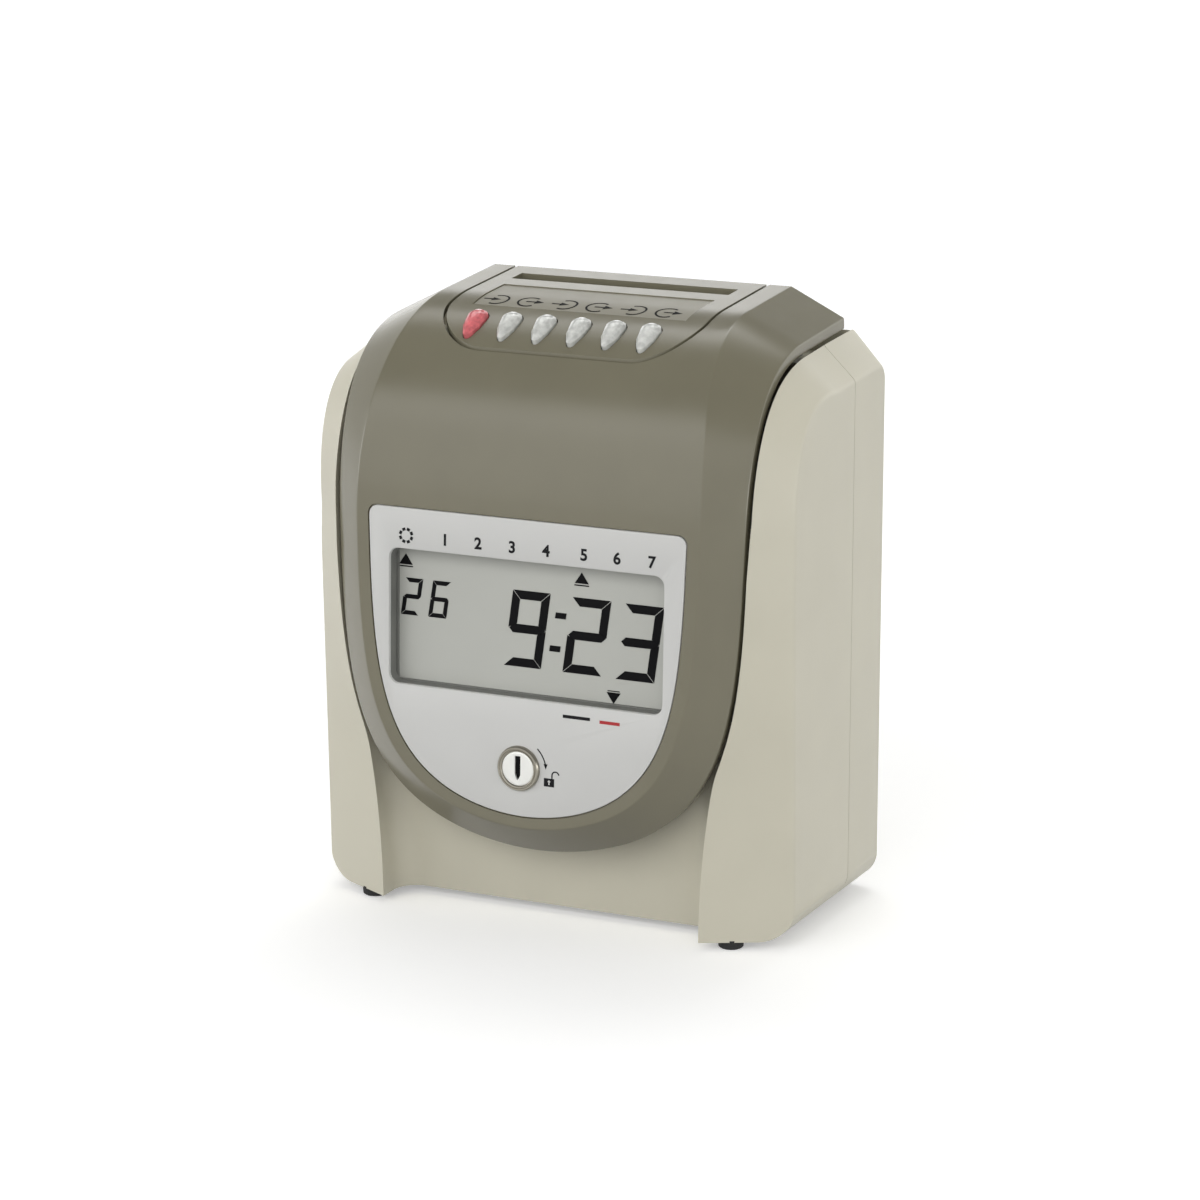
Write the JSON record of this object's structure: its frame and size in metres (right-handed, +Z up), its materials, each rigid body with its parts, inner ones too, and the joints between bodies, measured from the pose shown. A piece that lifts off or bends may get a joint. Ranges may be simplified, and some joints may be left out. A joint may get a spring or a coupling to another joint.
{
  "type": "time clock",
  "caption": "Desktop time recorder with a card slot and buttons on the sloping top, a hinged front cover with a large display and a key lock.",
  "frame": {"origin": "on the table, under the middle of the whole clock", "axes": "+X to the right seen from the front, +Y to the rear, +Z up"},
  "size_m": [0.1916, 0.1144, 0.23],
  "materials": {
    "beige_plastic": "fine-grained moulded plastic",
    "taupe_plastic": "satin to glossy moulded plastic",
    "taupe_label": "satin printed film",
    "grey_plate": "satin printed plastic",
    "lcd": "smooth display glass with grey backing",
    "red_button": "glossy translucent",
    "clear_button": "glossy milky clear",
    "chrome": "polished",
    "taupe_metal": "satin lacquer",
    "steel": "brushed",
    "zinc_sheet": "zinc-plated sheet",
    "brass": "turned",
    "black_plastic": "fine-grained",
    "black_rubber": "matte",
    "white_nylon": "moulded nylon",
    "circuit_board": "green solder resist",
    "motor_can": "plated can",
    "transformer_iron": "varnished laminations",
    "blue_plastic": "moulded",
    "ribbon_fabric": "inked nylon weave"
  },
  "bodies": {
    "casing": {"front_casing": "beige_plastic", "rear_casing": "beige_plastic", "top_panel": "taupe_plastic", "arrow_label": "taupe_label", "base_plate": "zinc_sheet", "rubber_feet": "black_rubber", "casing_screws": "steel", "chassis_plates": "zinc_sheet", "hinge_brackets": "zinc_sheet", "hinge_pins": "steel", "card_guide_front": "zinc_sheet", "card_guide_rear": "zinc_sheet", "card_stop": "black_plastic", "platen_bar": "black_rubber", "carriage_rod": "steel", "main_board": "circuit_board", "board_parts": "black_plastic", "display_frame": "black_plastic", "display_glass": "lcd", "display_board": "circuit_board", "button_board": "circuit_board", "button_switches": "black_plastic", "transformer": "transformer_iron", "backup_battery": "blue_plastic", "buzzer": "black_plastic", "power_inlet": "black_plastic", "feed_motor": "motor_can", "carriage_motor": "motor_can", "shaft_bushes": "brass", "lock_strike": "zinc_sheet", "cartridge_tray": "zinc_sheet"},
    "cover": {"cover_shell": "taupe_plastic", "faceplate": "grey_plate", "lock_barrel": "taupe_metal", "lock_nut": "steel"},
    "lock": {"lock_plug": "chrome", "lock_cam": "zinc_sheet"},
    "button_body_1": {"button_1": "red_button"},
    "button_body_2": {"button_2": "clear_button"},
    "button_body_3": {"button_3": "clear_button"},
    "button_body_4": {"button_4": "clear_button"},
    "button_body_5": {"button_5": "clear_button"},
    "button_body_6": {"button_6": "clear_button"},
    "feed_roll": {"feed_shaft": "steel", "feed_rollers": "black_rubber", "feed_gear": "white_nylon"},
    "pinch_roll": {"pinch_shaft": "steel", "pinch_rollers": "black_rubber"},
    "feed_pinion": {"motor_pinion": "white_nylon"},
    "print_carriage": {"carriage": "black_plastic", "print_head": "motor_can"},
    "screw": {"lead_screw": "steel", "screw_gear": "white_nylon"},
    "carriage_drive_pinion": {"carriage_pinion": "white_nylon"},
    "ribbon": {"ribbon_cartridge": "black_plastic", "ribbon_band": "ribbon_fabric"},
    "knob": {"ribbon_knob": "blue_plastic"}
  },
  "joints": [
    {"name": "cover_hinge", "type": "hinge", "parent": "casing", "child": "cover", "pos_m": [0, 0.03667, 0.219], "axis": [-1, 0, 0], "range_deg": [0, 70]},
    {"name": "lock_turn", "type": "hinge", "parent": "cover", "child": "lock", "pos_m": [-0.0014, -0.05531, 0.06403], "axis": [0, 0.9996, -0.03], "range_deg": [0, 90]},
    {"name": "press_1", "type": "slide", "parent": "casing", "child": "button_body_1", "axis": [0, 0.4666, -0.8844], "range_m": [0, 0.0015], "stiffness_N_per_m": 700, "springref_m": -0.0003},
    {"name": "press_2", "type": "slide", "parent": "casing", "child": "button_body_2", "axis": [0, 0.4666, -0.8844], "range_m": [0, 0.0015], "stiffness_N_per_m": 700, "springref_m": -0.0003},
    {"name": "press_3", "type": "slide", "parent": "casing", "child": "button_body_3", "axis": [0, 0.4666, -0.8844], "range_m": [0, 0.0015], "stiffness_N_per_m": 700, "springref_m": -0.0003},
    {"name": "press_4", "type": "slide", "parent": "casing", "child": "button_body_4", "axis": [0, 0.4666, -0.8844], "range_m": [0, 0.0015], "stiffness_N_per_m": 700, "springref_m": -0.0003},
    {"name": "press_5", "type": "slide", "parent": "casing", "child": "button_body_5", "axis": [0, 0.4666, -0.8844], "range_m": [0, 0.0015], "stiffness_N_per_m": 700, "springref_m": -0.0003},
    {"name": "press_6", "type": "slide", "parent": "casing", "child": "button_body_6", "axis": [0, 0.4666, -0.8844], "range_m": [0, 0.0015], "stiffness_N_per_m": 700, "springref_m": -0.0003},
    {"name": "feed_spin", "type": "hinge", "parent": "casing", "child": "feed_roll", "pos_m": [0, 0.02292, 0.132], "axis": [1, 0, 0], "continuous": true},
    {"name": "pinch_spin", "type": "hinge", "parent": "casing", "child": "pinch_roll", "pos_m": [0, 0.03941, 0.132], "axis": [1, 0, 0], "continuous": true},
    {"name": "feed_pinion_spin", "type": "hinge", "parent": "casing", "child": "feed_pinion", "pos_m": [0, 0.00851, 0.132], "axis": [1, 0, 0], "continuous": true},
    {"name": "carriage_slide", "type": "slide", "parent": "casing", "child": "print_carriage", "axis": [1, 0, 0], "range_m": [-0.027, 0.027]},
    {"name": "screw_spin", "type": "hinge", "parent": "casing", "child": "screw", "pos_m": [0, -0.00333, 0.161], "axis": [1, 0, 0], "range_deg": [-820, 820]},
    {"name": "carriage_pinion_spin", "type": "hinge", "parent": "casing", "child": "carriage_drive_pinion", "pos_m": [0, -0.00333, 0.1498], "axis": [1, 0, 0], "range_deg": [-1095, 1095]},
    {"name": "ribbon_shift", "type": "hinge", "parent": "casing", "child": "ribbon", "pos_m": [0, -0.01333, 0.184], "axis": [1, 0, 0], "range_deg": [0, 4]},
    {"name": "ribbon_wind", "type": "hinge", "parent": "ribbon", "child": "knob", "pos_m": [-0.026, -0.00134, 0.184], "axis": [0, 0, 1], "continuous": true}
  ],
  "couplings": [
    {"joint": "pinch_spin", "follows": "feed_spin", "ratio": -1},
    {"joint": "feed_pinion_spin", "follows": "feed_spin", "ratio": -2},
    {"joint": "screw_spin", "follows": "carriage_slide", "rad_per_m": 523.6},
    {"joint": "carriage_pinion_spin", "follows": "carriage_slide", "rad_per_m": -698.13}
  ]
}
